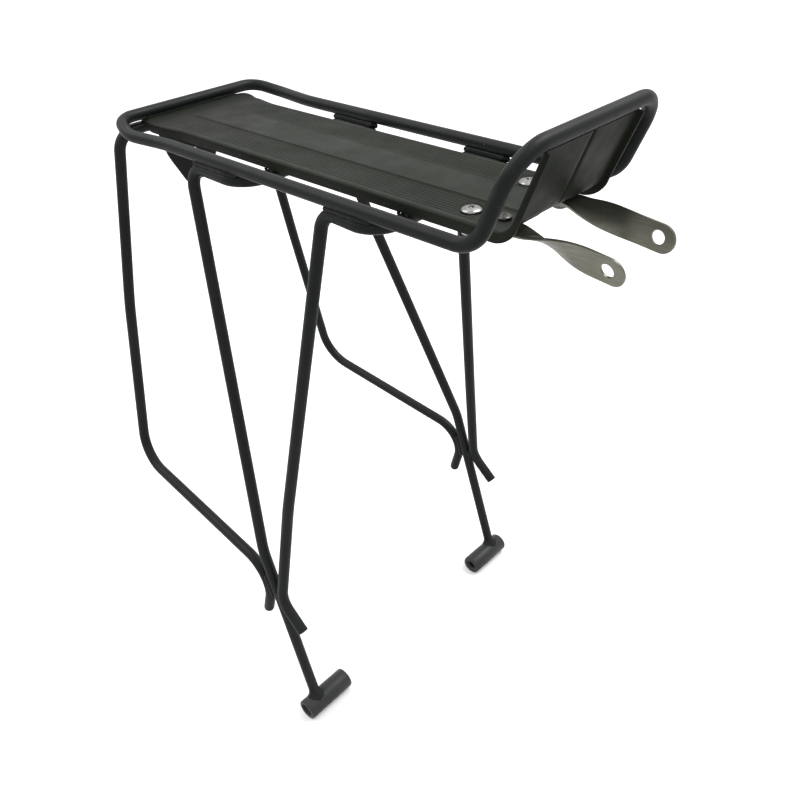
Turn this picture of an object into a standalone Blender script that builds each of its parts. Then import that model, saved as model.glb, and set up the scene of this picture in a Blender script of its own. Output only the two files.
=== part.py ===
"""Rear rack for a bicycle: a platform of bent steel rod around a pressed deck, carried by
three rod hoops that splay down to two feet, with two adjustable stays at the front.

X points to the front of the bicycle, Y to its left and Z up. The origin is under the middle
of the rack, level with the bottom of the feet. Lengths below are millimetres.
"""

import math

import bmesh
import bpy
from mathutils import Matrix, Vector

MM = 0.001
GAP = 0.3                       # clearance between pieces that touch
UP = Vector((0, 0, 1))

# Steel rod
ROD_R = 3.75
ROD_BEVEL = 3
BEND_STEP = math.radians(15)    # arc covered by one straight facet of a bend

# Platform loop: side rails, kicked-up rear bar and the raised front stop
RAIL_Z = 387.0
RAIL_Y = 57.0
REAR_X = -171.0
REAR_RISE = 4.4
REAR_HALF = 54.6
REAR_BEND = 14.0
FLARE_X = -150.0
FLARE_Y = 61.8
FLARE_RISE = 0.0
NECK_X = -115.0
HOOP_REAR_X = -174.3           # the rear hoop's crossing, behind and under the rear bar
HOOP_REAR_Z = -4.8
STOP_FOOT_X = 124.9
STOP_TOP_X = 144.5
STOP_HEIGHT = 46.0
STOP_HALF = 55.4
STOP_BEND = 18.0
STOP_CORNER = 19.0

# Feet: short cross tubes that take the axle-side screws
FOOT_X = 19.1
FOOT_R = 7.65
FOOT_BORE_R = 3.2
FOOT_INNER_Y = 76.0
FOOT_OUTER_Y = 115.1
FOOT_ROD_Y = 103.8

# Deck plate
SHEET = 1.2
DECK_TOP = 0.8                  # deck surface above the rails' centre plane
DECK_HALF = 37.5
DECK_REAR_X = -167.4
DECK_CORNER = 6.5
DECK_BEND_X = 119.6
DECK_BEND_R = 10.8
PANEL_LEAN = math.radians(22.3)
PANEL_LENGTH = 37.0
FLANGE = 6.0
PANEL_FLANGE = 3.8
FOLD_R = 1.6
CENTRE_HALF = 13.4
CENTRE_RISE = 0.7
REAR_CURL = 9.0                 # the sides come up to the middle's level over this rear length
CREASE_DEPTH = 0.8
CREASE_HALF = 1.4

# Stays and their clamps
STAY_T = 1.6
STAY_W = 13.8
STAY_DROOP = math.radians(6.5)
STAY_REAR_X = 54.0
STAY_TWIST_X = 118.0
STAY_TWIST = 44.0                # length over which the strip turns on edge
STAY_TURN = math.radians(80.0)
STAY_DRIFT = 1.1                 # how far the forward end leans inward
STAY_HOLE_X = 170.4
STAY_TIP_X = 179.3
STAY_HOLE_R = 3.3
STAY_TRAVEL = 30.0               # how far a stay's slot lets it pull out
BOLT_X = 95.4
BOLT_Y = 23.0
BOLT_PITCH = 19.6
SHANK_R = 3.0
HOLE_R = SHANK_R + GAP
HEAD_R = 5.25
HEAD_H = 2.4
SMALL_SHANK_R = 2.0              # the front bolts are smaller
SMALL_HOLE_R = SMALL_SHANK_R + GAP
SMALL_HEAD_R = 3.7
SMALL_HEAD_H = 1.9
DIMPLE_DEPTH = 1.55              # the deck is pressed down under each rear bolt head
DIMPLE_FLOOR_R = 5.9
DIMPLE_R = 8.2
CLAMP_T = 1.6
CLAMP_HALF = 6.0
WASHER_R = 5.5
WASHER_T = 1.0
NUT_AF = 10.0
NUT_H = 4.0
SMALL_NUT_AF = 7.0
SMALL_NUT_H = 2.2

# Reflector bracket: its outline, as half widths and depths below its top
BRACKET_X = -177.6
BRACKET_Z = -8.2
BRACKET_T = 2.0
BRACKET_SHAPE = ((26.2, 0.0), (21.5, 21.2), (10.0, 43.5))
BRACKET_HOLE_R = 2.6
BRACKET_HOLE_DROP = 23.3

COLOURS = {
    "rod_paint": ((0.045, 0.052, 0.050), 0.38, 0.35),
    "deck_paint": ((0.085, 0.092, 0.078), 0.42, 0.35),
    "bare_steel": ((0.42, 0.41, 0.38), 0.32, 0.9),
    "zinc": ((0.70, 0.70, 0.68), 0.25, 0.95),
}


def clear_scene():
    for item in list(bpy.data.objects):
        bpy.data.objects.remove(item, do_unlink=True)


def new_collection(name):
    group = bpy.data.collections.new(name)
    bpy.context.scene.collection.children.link(group)
    return group


def make_material(name, slot):
    colour, roughness, metallic = COLOURS[slot]
    material = bpy.data.materials.new(name)
    material.use_nodes = True
    shader = material.node_tree.nodes["Principled BSDF"]
    shader.inputs["Base Color"].default_value = (*colour, 1.0)
    shader.inputs["Roughness"].default_value = roughness
    shader.inputs["Metallic"].default_value = metallic
    return material


def finish_object(item, slot):
    """Gives a piece its material and smooth shading with sharp edges kept."""
    item.data.materials.clear()
    item.data.materials.append(make_material(item.name + "_paint", slot))
    item.data.shade_smooth()
    item.data.set_sharp_from_angle(angle=math.radians(40))
    return item


def mesh_object(name, bm, group):
    bmesh.ops.recalc_face_normals(bm, faces=bm.faces)
    mesh = bpy.data.meshes.new(name)
    bm.to_mesh(mesh)
    bm.free()
    item = bpy.data.objects.new(name, mesh)
    group.objects.link(item)
    return item


def cutter_object(name, bm):
    item = mesh_object(name, bm, CUTTERS)
    item.hide_render = True
    item.display_type = "WIRE"
    return item


def cut(item, cutter):
    step = item.modifiers.new(cutter.name, "BOOLEAN")
    step.operation = "DIFFERENCE"
    step.solver = "EXACT"
    step.object = cutter


def join(item, other):
    step = item.modifiers.new(other.name, "BOOLEAN")
    step.operation = "UNION"
    step.solver = "EXACT"
    step.object = other


def mirrored(points):
    return [Vector((p.x, -p.y, p.z)) for p in points]


def rounded_path(corners, radii):
    """Replaces each inner corner of an open path with an arc of the given radius."""
    path = [corners[0]]
    for before, corner, after, radius in zip(corners, corners[1:], corners[2:], radii):
        into = (before - corner).normalized()
        out = (after - corner).normalized()
        half = into.angle(out) / 2
        middle = corner + (into + out).normalized() * (radius / math.sin(half))
        start = corner + into * (radius / math.tan(half))
        sweep = math.pi - 2 * half
        count = max(2, math.ceil(sweep / BEND_STEP))
        spoke = start - middle
        turn_axis = spoke.cross(-into)
        for k in range(count + 1):
            path.append(middle + Matrix.Rotation(sweep * k / count, 3, turn_axis) @ spoke)
    path.append(corners[-1])
    return path


def rod(name, path, cyclic=False):
    """A bent rod whose centre line is the path, as a bevelled curve with closed ends."""
    curve = bpy.data.curves.new(name, "CURVE")
    curve.dimensions = "3D"
    curve.bevel_depth = ROD_R * MM
    curve.bevel_resolution = ROD_BEVEL
    curve.use_fill_caps = not cyclic
    curve.render_resolution_u = 0
    spline = curve.splines.new("POLY")
    spline.points.add(len(path) - 1)
    for point, place in zip(spline.points, path):
        point.co = (*(place * MM), 1.0)
    spline.use_cyclic_u = cyclic
    item = bpy.data.objects.new(name, curve)
    PIECES.objects.link(item)
    curve.materials.append(make_material(name + "_paint", "rod_paint"))
    return item


def dome_ends(item):
    """Rounds both ends of a rod by adding ever thinner rings beyond its last points."""
    spline = item.data.splines[0]
    path = [point.co.to_3d() for point in spline.points]
    steps = [math.radians(angle) for angle in (30, 58, 80)]
    spline.points.add(2 * len(steps))
    places = [(place, 1.0) for place in path]
    for tip, inner in ((path[-1], path[-2]), (path[0], path[1])):
        outward = (tip - inner).normalized()
        rings = [(tip + outward * (ROD_R * MM * math.sin(a)), math.cos(a)) for a in steps]
        places = places + rings if tip is path[-1] else rings[::-1] + places
    for point, (place, radius) in zip(spline.points, places):
        point.co = (*place, 1.0)
        point.radius = radius


def hoop(name, half_path):
    """A rod that is the same on both sides; the half path starts on the middle plane."""
    return rod(name, mirrored(half_path)[:0:-1] + half_path)


def turned(name, profile, place, axis, slot):
    """A turned piece: a closed or axis-to-axis profile of (radius, height) spun about its axis."""
    bm = bmesh.new()
    points = [bm.verts.new((radius * MM, 0.0, height * MM)) for radius, height in profile]
    for first, second in zip(points, points[1:]):
        bm.edges.new((first, second))
    if profile[0][0] > 0:
        bm.edges.new((points[-1], points[0]))
    mesh = bpy.data.meshes.new(name)
    bm.to_mesh(mesh)
    bm.free()
    item = bpy.data.objects.new(name, mesh)
    PIECES.objects.link(item)
    spin = item.modifiers.new("spin", "SCREW")
    spin.axis = "Z"
    spin.steps = spin.render_steps = 24
    spin.use_merge_vertices = True
    spin.merge_threshold = 0.00001
    item.location = place * MM
    item.rotation_mode = "QUATERNION"
    item.rotation_quaternion = Vector((0, 0, 1)).rotation_difference(axis)
    return finish_object(item, slot)


def loft(name, sections, slot):
    """An open sheet through sections with equal numbers of points."""
    bm = bmesh.new()
    rows = [[bm.verts.new(point * MM) for point in section] for section in sections]
    for row, following in zip(rows, rows[1:]):
        for k in range(len(row) - 1):
            bm.faces.new((row[k], following[k], following[k + 1], row[k + 1]))
    mesh = bpy.data.meshes.new(name)
    bm.to_mesh(mesh)
    bm.free()
    item = bpy.data.objects.new(name, mesh)
    PIECES.objects.link(item)
    return finish_object(item, slot)


def thicken(item, thickness, offset):
    skin = item.modifiers.new("thickness", "SOLIDIFY")
    skin.thickness = thickness * MM
    skin.offset = offset
    skin.use_even_offset = True


def cylinder_mesh(radius, depth, place, axis, sides=24):
    bm = bmesh.new()
    turn = Vector((0, 0, 1)).rotation_difference(axis).to_matrix().to_4x4()
    bmesh.ops.create_cone(
        bm, cap_ends=True, segments=sides, radius1=radius * MM, radius2=radius * MM,
        depth=depth * MM, matrix=Matrix.Translation(place * MM) @ turn)
    return bm


def ring_mesh(profile, place, sides=36):
    """A closed ring: a profile of (radius, height) turned about the upright through a place."""
    bm = bmesh.new()
    rows = []
    for k in range(sides):
        angle = 2 * math.pi * k / sides
        out = Vector((math.cos(angle), math.sin(angle), 0))
        rows.append([bm.verts.new((place + out * radius + UP * height) * MM) for radius, height in profile])
    count = len(profile)
    for k in range(sides):
        row, following = rows[k], rows[(k + 1) % sides]
        for j in range(count):
            bm.faces.new((row[j], row[(j + 1) % count], following[(j + 1) % count], following[j]))
    bmesh.ops.recalc_face_normals(bm, faces=bm.faces)
    return bm


def box_mesh(size, place):
    bm = bmesh.new()
    move = Matrix.Translation(place * MM)
    bmesh.ops.create_cube(bm, size=1.0, matrix=move @ Matrix.Diagonal((*(size * MM), 1.0)))
    return bm


def plate(name, outline, thickness):
    """A flat plate: a closed outline pushed along the thickness vector."""
    bm = bmesh.new()
    face = bm.faces.new([bm.verts.new(corner * MM) for corner in outline])
    pushed = bmesh.ops.extrude_face_region(bm, geom=[face])
    moved = [part for part in pushed["geom"] if isinstance(part, bmesh.types.BMVert)]
    bmesh.ops.translate(bm, verts=moved, vec=thickness * MM)
    return mesh_object(name, bm, PIECES)


def above_rails(x, y, height):
    return Vector((x, y, RAIL_Z + height))


# Platform loop

def make_platform_loop():
    corners = [
        above_rails(REAR_X, 0, REAR_RISE),
        above_rails(REAR_X, REAR_HALF, REAR_RISE),
        above_rails(FLARE_X, FLARE_Y, FLARE_RISE),
        above_rails(NECK_X, RAIL_Y, 0),
        above_rails(STOP_FOOT_X, RAIL_Y, 0),
        above_rails(STOP_TOP_X, STOP_HALF, STOP_HEIGHT),
        above_rails(STOP_TOP_X, 0, STOP_HEIGHT),
    ]
    half = rounded_path(corners, (REAR_BEND, 32.0, 120.0, STOP_BEND, STOP_CORNER))
    return rod("platform_loop", half + mirrored(half)[-2:0:-1], cyclic=True)


# Leg hoops

def make_rear_hoop():
    corners = [
        above_rails(HOOP_REAR_X, 0, HOOP_REAR_Z),
        above_rails(HOOP_REAR_X, 55.3, HOOP_REAR_Z),
        above_rails(-176.1, 77.4, -122.1),
        above_rails(-171.6, 98.5, -247.5),
        above_rails(-11.2, 103.2, -265.4),
        above_rails(-22.9, 103.9, -306.0),
    ]
    dome_ends(hoop("rear_hoop", rounded_path(corners, (14.0, 300.0, 26.0, 23.0))))


def make_middle_hoop():
    knee = above_rails(-19.0, 102.2, -247.5)
    foot = Vector((FOOT_X, FOOT_ROD_Y, FOOT_R))
    end = foot + (knee - foot).normalized() * (FOOT_R + GAP)
    corners = [
        above_rails(-42.4, 0, -9.4),
        above_rails(-42.4, 56.2, -9.4),
        above_rails(-94.5, 55.5, -8.7),
        knee,
        end,
    ]
    hoop("middle_hoop", rounded_path(corners, (17.0, 10.0, 60.0)))


def make_front_hoop():
    corners = [
        above_rails(62.5, 0, -9.4),
        above_rails(62.5, 56.2, -9.4),
        above_rails(23.0, 54.6, -8.7),
        above_rails(2.9, 91.8, -203.6),
        above_rails(-3.0, 104.8, -283.4),
        above_rails(16.6, 105.0, -300.6),
    ]
    hoop("front_hoop", rounded_path(corners, (15.0, 10.0, 300.0, 18.0)))


def make_feet():
    length = FOOT_OUTER_Y - FOOT_INNER_Y
    edge = 0.6
    profile = [
        (FOOT_R - edge, length), (FOOT_R, length - edge), (FOOT_R, edge), (FOOT_R - edge, 0),
        (FOOT_BORE_R, 0), (FOOT_BORE_R, length),
    ]
    for side, sign in (("left", 1), ("right", -1)):
        place = Vector((FOOT_X, sign * FOOT_INNER_Y, FOOT_R))
        turned(side + "_foot", profile, place, Vector((0, sign, 0)), "rod_paint")


# Deck plate

def deck_half_width(x):
    """Half width at the fold: rounded rear corners, a slight flare, then straight sides."""
    corner = DECK_CORNER
    flare = 3.0 * max(0.0, min(1.0, (-128.0 - x) / 18.0))
    inset = 0.0
    if x < DECK_REAR_X + corner:
        run = (DECK_REAR_X + corner - x) / corner
        inset = corner * (1.0 - math.sqrt(max(0.0, 1.0 - run * run)))
    return DECK_HALF + flare - inset


def deck_section(x, panel_share):
    """Half of the section, from the middle out, as (across, height above the sheet line)."""
    half = deck_half_width(x)
    depth = FLANGE + (PANEL_FLANGE - FLANGE) * panel_share
    depth *= min(1.0, 0.35 + (x - DECK_REAR_X) / 12.0)
    crease = CREASE_DEPTH * panel_share
    rise = CENTRE_RISE * (1.0 - panel_share)
    curl = CENTRE_RISE * max(0.0, 1.0 - (x - DECK_REAR_X) / REAR_CURL)
    return [
        (0.0, rise + crease),
        (CREASE_HALF, rise),
        (CENTRE_HALF - 0.8, rise),
        (CENTRE_HALF + 0.2, curl),
        (half - FOLD_R, curl),
        (half - 0.3 * FOLD_R, curl - 0.3 * FOLD_R),
        (half, curl - FOLD_R),
        (half, -depth),
    ]


def deck_stations():
    """Each station is (x, height, tilt of the sheet, share of the panel's crease)."""
    stations = []
    for step in (0.0, 0.6, 2.0, 5.0, 10.0, 16.0, 33.0):
        stations.append((DECK_REAR_X + step, DECK_TOP, 0.0, 0.0))
    stations.append((60.0, DECK_TOP, 0.0, 0.0))
    stations.append((DECK_BEND_X - 12.0, DECK_TOP, 0.0, 0.0))
    turn = math.pi / 2 - PANEL_LEAN
    count = 7
    for k in range(count + 1):
        angle = turn * k / count
        x = DECK_BEND_X + DECK_BEND_R * math.sin(angle)
        height = DECK_TOP + DECK_BEND_R * (1.0 - math.cos(angle))
        stations.append((x, height, angle, k / count))
    x, height, angle, share = stations[-1]
    for length in (0.5, 1.0):
        reach = PANEL_LENGTH * length
        stations.append((x + reach * math.cos(angle), height + reach * math.sin(angle), angle, share))
    return stations


def dimple_mesh(place):
    """The round dish that a rear bolt sits in, with the bolt's hole in its floor."""
    floor = DECK_TOP - DIMPLE_DEPTH
    rim = DIMPLE_R + 0.2
    return ring_mesh([
        (HOLE_R, floor), (DIMPLE_FLOOR_R, floor), (rim, DECK_TOP - 0.15),
        (rim, DECK_TOP - SHEET + 0.15), (DIMPLE_FLOOR_R + 0.9, floor - SHEET), (HOLE_R, floor - SHEET),
    ], place)


def make_deck_plate():
    sections = []
    for x, height, tilt, share in deck_stations():
        across = deck_section(x, share)
        outline = [(-y, rise) for y, rise in across[:0:-1]] + across
        up = Vector((-math.sin(tilt), 0, math.cos(tilt)))
        sections.append([above_rails(x, y, height) + up * rise for y, rise in outline])
    item = loft("deck_plate", sections, "deck_paint")
    thicken(item, SHEET, -1.0)
    for side, sign in (("left", 1), ("right", -1)):
        rear, front = bolt_places(sign)
        opening = cylinder_mesh(DIMPLE_R - 0.2, 12.0, rear, UP, 32)
        cut(item, cutter_object("deck_%s_opening" % side, opening))
        join(item, cutter_object("deck_%s_dimple" % side, dimple_mesh(rear)))
        bore = cylinder_mesh(SMALL_HOLE_R, 12.0, front, UP)
        cut(item, cutter_object("deck_%s_front_hole" % side, bore))
    return item


# Reflector bracket

def make_reflector_bracket():
    x = BRACKET_X - BRACKET_T / 2
    half = [above_rails(x, y, BRACKET_Z - depth) for y, depth in BRACKET_SHAPE]
    item = plate("reflector_bracket", mirrored(half) + half[::-1], Vector((BRACKET_T, 0, 0)))
    place = above_rails(BRACKET_X, 0, BRACKET_Z - BRACKET_HOLE_DROP)
    bore = cylinder_mesh(BRACKET_HOLE_R, 12.0, place, Vector((1, 0, 0)))
    cut(item, cutter_object("bracket_hole", bore))
    return finish_object(item, "rod_paint")


# Stays and the bolts that clamp them under the deck

STAY_LEVEL = DECK_TOP - DIMPLE_DEPTH - SHEET - GAP - STAY_T / 2


def bolt_places(sign):
    return [above_rails(BOLT_X + BOLT_PITCH * k, sign * BOLT_Y, 0) for k in range(2)]


def smooth_step(share):
    share = max(0.0, min(1.0, share))
    return share * share * (3.0 - 2.0 * share)


def stay_centre(x, sign):
    """The strip's centre line: level under the deck, then down and a little inward."""
    beyond = max(0.0, x - STAY_TWIST_X)
    drop = beyond * math.tan(STAY_DROOP * smooth_step(beyond / 12.0))
    lean = STAY_DRIFT * smooth_step(beyond / 25.0)
    return above_rails(x, sign * (BOLT_Y - lean), STAY_LEVEL - drop)


def stay_width(x, sign):
    """The strip's cross direction, which turns nearly upright towards its front end."""
    turn = sign * STAY_TURN * smooth_step((x - STAY_TWIST_X) / STAY_TWIST)
    return Vector((0, math.cos(turn), math.sin(turn)))


def stay_sections(sign):
    half = STAY_W / 2
    round_x = STAY_TIP_X - half
    stations = [STAY_REAR_X, BOLT_X, STAY_TWIST_X]
    stations += [STAY_TWIST_X + STAY_TWIST * k / 14 for k in range(1, 15)]
    stations += [round_x + half * math.sin(math.radians(angle)) for angle in (0, 20, 38, 54, 68, 78)]
    sections = []
    for x in sorted(stations):
        reach = half
        if x > round_x:
            reach = math.sqrt(half * half - (x - round_x) ** 2)
        centre = stay_centre(x, sign)
        width = stay_width(x, sign)
        sections.append([centre + width * (reach * share) for share in (-1.0, -0.5, 0.0, 0.5, 1.0)])
    return sections


def make_stays():
    for side, sign in (("left", 1), ("right", -1)):
        name = side + "_stay"
        item = loft(name, stay_sections(sign), "bare_steel")
        thicken(item, STAY_T, 0.0)
        through = stay_width(STAY_HOLE_X, sign).cross(Vector((1, 0, 0)))
        eye = cylinder_mesh(STAY_HOLE_R, 20.0, stay_centre(STAY_HOLE_X, sign), through)
        cut(item, cutter_object(name + "_eye", eye))
        length = BOLT_PITCH + STAY_TRAVEL
        middle = above_rails(BOLT_X + (BOLT_PITCH - STAY_TRAVEL) / 2, sign * BOLT_Y, STAY_LEVEL)
        cut(item, cutter_object(name + "_slot", box_mesh(Vector((length, 2 * HOLE_R, 10.0)), middle)))
        for end, way in (("front", 1), ("rear", -1)):
            place = middle + Vector((way * length / 2, 0, 0))
            cut(item, cutter_object("%s_slot_%s" % (name, end), cylinder_mesh(HOLE_R, 10.0, place, UP)))


def bolt_profile(head_r, head_h, shank_r, length):
    """A round-head bolt from the top of its dome to the end of its shank."""
    dome = []
    for k in range(5):
        angle = math.radians(22.5 * k)
        dome.append((head_r * math.sin(angle), head_h * (0.2 + 0.8 * math.cos(angle))))
    return dome + [(head_r, 0.0), (shank_r, 0.0), (shank_r, -length), (0.0, -length)]


def make_nut(name, place, top, size, height, bore_r):
    low = place + UP * (top - height / 2)
    nut = mesh_object(name, cylinder_mesh(size / math.sqrt(3), height, low, UP, 6), PIECES)
    cut(nut, cutter_object(name + "_bore", cylinder_mesh(bore_r, 12.0, low, UP)))
    finish_object(nut, "zinc")


def make_clamp_plate(name, places, top):
    """A strip with round ends about the two bolts."""
    outline = []
    for place, start in zip(places, (90, -90)):
        for step in range(0, 181, 20):
            angle = math.radians(start + step)
            out = Vector((math.cos(angle), math.sin(angle), 0))
            outline.append(place + out * CLAMP_HALF + UP * (top - CLAMP_T))
    item = plate(name, outline, UP * CLAMP_T)
    for place, radius, end in zip(places, (HOLE_R, SMALL_HOLE_R), ("rear", "front")):
        bore = cylinder_mesh(radius, 40.0, place, UP)
        cut(item, cutter_object("%s_%s_hole" % (name, end), bore))
    finish_object(item, "bare_steel")


def make_clamps():
    clamp_top = STAY_LEVEL - STAY_T / 2 - GAP
    clamp_low = clamp_top - CLAMP_T - GAP
    nut_top = clamp_low - WASHER_T - GAP
    seat = DECK_TOP - DIMPLE_DEPTH + GAP
    small_seat = DECK_TOP + GAP
    length = seat - nut_top + NUT_H + 1.0
    small_length = small_seat - clamp_low + SMALL_NUT_H + 0.5
    ring = [(WASHER_R, 0.0), (WASHER_R, -WASHER_T), (HOLE_R, -WASHER_T), (HOLE_R, 0.0)]
    big = bolt_profile(HEAD_R, HEAD_H, SHANK_R, length)
    small = bolt_profile(SMALL_HEAD_R, SMALL_HEAD_H, SMALL_SHANK_R, small_length)
    for side, sign in (("left", 1), ("right", -1)):
        rear, front = bolt_places(sign)
        make_clamp_plate(side + "_clamp_plate", (rear, front), clamp_top)
        turned(side + "_rear_bolt", big, rear + UP * seat, UP, "zinc")
        turned(side + "_rear_washer", ring, rear + UP * clamp_low, UP, "zinc")
        make_nut(side + "_rear_nut", rear, nut_top, NUT_AF, NUT_H, HOLE_R)
        turned(side + "_front_bolt", small, front + UP * small_seat, UP, "zinc")
        make_nut(side + "_front_nut", front, clamp_low, SMALL_NUT_AF, SMALL_NUT_H, SMALL_HOLE_R)


clear_scene()
PIECES = new_collection("rear_rack")
CUTTERS = new_collection("cutters")
make_platform_loop()
make_rear_hoop()
make_middle_hoop()
make_front_hoop()
make_feet()
make_deck_plate()
make_reflector_bracket()
make_stays()
make_clamps()
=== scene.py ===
"""Looks of the rear rack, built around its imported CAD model.

Every CAD piece gets a finer visual piece on the same centre lines: smooth bent rods, weld beads,
a pressed deck with its grooves, twisted steel stays, and bolts with recesses and threads.
Lengths are millimetres until they reach a mesh. X is to the front, Y to the left and Z up.
"""

import math

import bmesh
import bpy
from mathutils import Matrix, Vector


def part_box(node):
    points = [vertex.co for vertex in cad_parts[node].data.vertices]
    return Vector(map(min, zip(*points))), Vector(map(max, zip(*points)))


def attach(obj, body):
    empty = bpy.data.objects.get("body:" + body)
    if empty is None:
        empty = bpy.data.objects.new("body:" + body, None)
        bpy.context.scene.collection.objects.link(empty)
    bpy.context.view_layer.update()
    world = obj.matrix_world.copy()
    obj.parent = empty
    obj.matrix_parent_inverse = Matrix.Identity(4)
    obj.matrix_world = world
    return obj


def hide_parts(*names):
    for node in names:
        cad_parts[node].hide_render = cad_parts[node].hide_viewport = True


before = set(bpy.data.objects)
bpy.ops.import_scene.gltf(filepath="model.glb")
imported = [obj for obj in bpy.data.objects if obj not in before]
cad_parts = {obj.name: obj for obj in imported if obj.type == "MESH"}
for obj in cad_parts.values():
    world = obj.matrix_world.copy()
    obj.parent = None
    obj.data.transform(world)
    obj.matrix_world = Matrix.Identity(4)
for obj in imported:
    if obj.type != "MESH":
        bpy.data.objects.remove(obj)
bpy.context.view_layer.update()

MM = 0.001
UP = Vector((0, 0, 1))
SIDES = (("left", 1), ("right", -1))
RACK = "rack"


def node_box(node):
    """A CAD node's lowest and highest corner, in millimetres."""
    low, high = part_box(node)
    return low / MM, high / MM


# Rod centre lines, as in the CAD model. Heights are from the rails' centre plane.

ROD_R = 3.75
ROD_SIDES = 24
BEND_STEP = math.radians(4)     # turn between two points on a bend
RAIL_DROP = 5.2                 # from the rails' centre plane to the deck flanges' lower edge
RAIL_Z = node_box("deck_plate")[0].z + RAIL_DROP
RAIL_Y = 57.0
FOOT_R = 7.65
FOOT_ROD_Y = 103.8              # where the middle hoop meets the foot's axis

LOOP_CORNERS = (
    (-171.0, 0.0, 4.4), (-171.0, 54.6, 4.4), (-150.0, 61.8, 0.0), (-115.0, RAIL_Y, 0.0),
    (124.9, RAIL_Y, 0.0), (144.5, 55.4, 46.0), (144.5, 0.0, 46.0),
)
LOOP_BENDS = (14.0, 32.0, 120.0, 18.0, 19.0)
REAR_CORNERS = (
    (-174.3, 0.0, -4.8), (-174.3, 55.3, -4.8), (-176.1, 77.4, -122.1), (-171.6, 98.5, -247.5),
    (-11.2, 103.2, -265.4), (-22.9, 103.9, -306.0),
)
REAR_BENDS = (14.0, 300.0, 26.0, 23.0)
MIDDLE_CORNERS = ((-42.4, 0.0, -9.4), (-42.4, 56.2, -9.4), (-94.5, 55.5, -8.7), (-19.0, 102.2, -247.5))
MIDDLE_BENDS = (17.0, 10.0, 60.0)
FRONT_CORNERS = (
    (62.5, 0.0, -9.4), (62.5, 56.2, -9.4), (23.0, 54.6, -8.7), (2.9, 91.8, -203.6),
    (-3.0, 104.8, -283.4), (16.6, 105.0, -300.6),
)
FRONT_BENDS = (15.0, 10.0, 300.0, 18.0)


def above_rails(x, y, height):
    """A point at a height over the rails' centre plane."""
    return Vector((x, y, RAIL_Z + height))


def mirrored(points):
    """The same points on the other side of the middle plane."""
    return [Vector((p.x, -p.y, p.z)) for p in points]


def rounded_path(corners, radii, step=BEND_STEP):
    """Replaces each inner corner of an open path with an arc of the given radius."""
    path = [corners[0]]
    for before, corner, after, radius in zip(corners, corners[1:], corners[2:], radii):
        into = (before - corner).normalized()
        out = (after - corner).normalized()
        half = into.angle(out) / 2
        middle = corner + (into + out).normalized() * (radius / math.sin(half))
        spoke = corner + into * (radius / math.tan(half)) - middle
        sweep = math.pi - 2 * half
        count = max(2, math.ceil(sweep / step))
        for k in range(count + 1):
            turn = Matrix.Rotation(sweep * k / count, 3, spoke.cross(-into))
            path.append(middle + turn @ spoke)
    path.append(corners[-1])
    return path


def resampled(path, spacing):
    """The same path with a point at least every so many millimetres."""
    points = [path[0]]
    for start, end in zip(path, path[1:]):
        count = max(1, math.ceil((end - start).length / spacing))
        points += [start.lerp(end, k / count) for k in range(1, count + 1)]
    return points


# Meshes

SAME_POINT = 0.000002            # metres


def mesh_piece(name, bm, smooth_angle=40):
    """Turns a bmesh in metres into a smooth-shaded object with its sharp edges kept."""
    bmesh.ops.remove_doubles(bm, verts=bm.verts, dist=SAME_POINT)
    bmesh.ops.recalc_face_normals(bm, faces=bm.faces)
    mesh = bpy.data.meshes.new(name)
    bm.to_mesh(mesh)
    bm.free()
    piece = bpy.data.objects.new(name, mesh)
    bpy.context.scene.collection.objects.link(piece)
    mesh.shade_smooth()
    mesh.set_sharp_from_angle(angle=math.radians(smooth_angle))
    return piece


def skin(bm, rings, closed_path=False):
    """Joins equal rings of points, in millimetres, into one tube with flat ends."""
    rows = [[bm.verts.new(point * MM) for point in ring] for ring in rings]
    pairs = list(zip(rows, rows[1:])) + ([(rows[-1], rows[0])] if closed_path else [])
    count = len(rows[0])
    for row, following in pairs:
        for k in range(count):
            nearby = (k + 1) % count
            bm.faces.new((row[k], row[nearby], following[nearby], following[k]))
    if not closed_path:
        bm.faces.new(rows[0][::-1])
        bm.faces.new(rows[-1])


def frames_along(path, closed_path=False):
    """A point, tangent and two cross directions for each point, turning as little as it can."""
    count = len(path)
    tangents = []
    for k, point in enumerate(path):
        before = path[k - 1] if k or closed_path else point
        after = path[(k + 1) % count] if k < count - 1 or closed_path else point
        tangents.append((after - before).normalized())
    side = tangents[0].orthogonal().normalized()
    frames = []
    for point, tangent in zip(path, tangents):
        side = (side - tangent * side.dot(tangent)).normalized()
        frames.append((point, tangent, side, tangent.cross(side)))
    return frames


def circle(centre, side, rise, radius, sides):
    """A ring of points in the plane of two cross directions."""
    turns = [2 * math.pi * k / sides for k in range(sides)]
    return [centre + (side * math.cos(a) + rise * math.sin(a)) * radius for a in turns]


def sweep(bm, path, radii, sides=ROD_SIDES, closed_path=False):
    """A tube along a path, with one radius or a radius for each point."""
    if not isinstance(radii, (list, tuple)):
        radii = [radii] * len(path)
    rings = []
    for (point, _, side, rise), radius in zip(frames_along(path, closed_path), radii):
        rings.append(circle(point, side, rise, radius, sides))
    skin(bm, rings, closed_path)


def with_tip(path, radii, shape):
    """Adds a domed or chamfered tip beyond the last point of a path."""
    outward = (path[-1] - path[-2]).normalized()
    tip = path[-1]
    for reach, radius in shape:
        path = path + [tip + outward * reach]
        radii = radii + [radius]
    return path, radii


# Tips as (how far beyond the path's end, radius there).
DOME_TIP = [(ROD_R * math.sin(math.radians(d)), ROD_R * math.cos(math.radians(d))) for d in range(12, 90, 12)]
CUT_TIP = [(0.25, ROD_R - 0.05), (0.45, ROD_R - 0.3)]


def turned(bm, profile, place, axis, sides=48):
    """Spins a profile of (radius, height) about an axis. One that starts off the axis closes on itself."""
    side = axis.orthogonal().normalized()
    rise = axis.cross(side)
    rings = []
    for radius, height in profile:
        rings.append(circle(place + axis * height, side, rise, max(radius, 0.001), sides))
    skin(bm, rings, closed_path=profile[0][0] > 0)


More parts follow.
